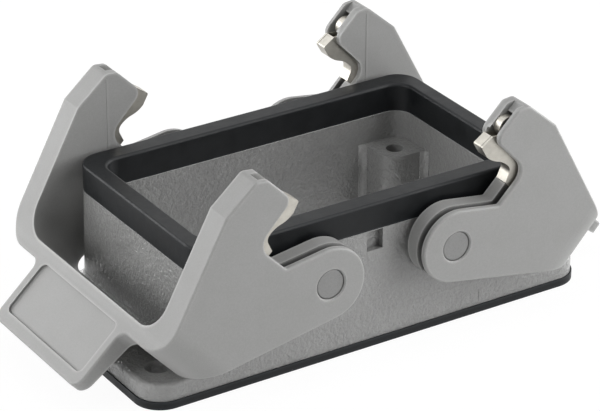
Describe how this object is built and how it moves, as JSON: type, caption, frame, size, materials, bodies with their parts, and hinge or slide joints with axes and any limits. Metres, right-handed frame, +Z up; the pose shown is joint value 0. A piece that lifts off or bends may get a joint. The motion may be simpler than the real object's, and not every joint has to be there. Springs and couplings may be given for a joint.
{
  "type": "rectangular connector housing with locking levers",
  "caption": "Rectangular bulkhead connector housing, an open tub on a bolted flange, with a rim seal and a U-shaped locking lever at each end.",
  "frame": {"origin": "centre of the underside of the gasket, in the plane of the panel", "axes": "+X along the housing towards the right lever, +Y across it, +Z up from the panel towards the mating hood"},
  "size_m": [0.1148, 0.0574, 0.0429],
  "materials": {
    "housing_paint": "grey powder coat over die-cast aluminium, fine hammered texture",
    "seal_rubber": "smooth black rubber",
    "gasket_rubber": "matte black rubber",
    "lever_plastic": "satin grey moulding",
    "hook_steel": "bright stainless sheet"
  },
  "bodies": {
    "base": {"housing": "housing_paint", "rim_seal": "seal_rubber", "base_gasket": "gasket_rubber"},
    "left_lock": {"left_lever": "lever_plastic", "left_hook_near": "hook_steel", "left_hook_far": "hook_steel"},
    "right_lock": {"right_lever": "lever_plastic", "right_hook_near": "hook_steel", "right_hook_far": "hook_steel"}
  },
  "joints": [
    {"name": "left_lever_swing", "type": "hinge", "parent": "base", "child": "left_lock", "pos_m": [-0.0134, 0, 0.0189], "axis": [0, 1, 0], "range_deg": [0, 42]},
    {"name": "right_lever_swing", "type": "hinge", "parent": "base", "child": "right_lock", "pos_m": [0.0134, 0, 0.0189], "axis": [0, -1, 0], "range_deg": [0, 42]}
  ]
}
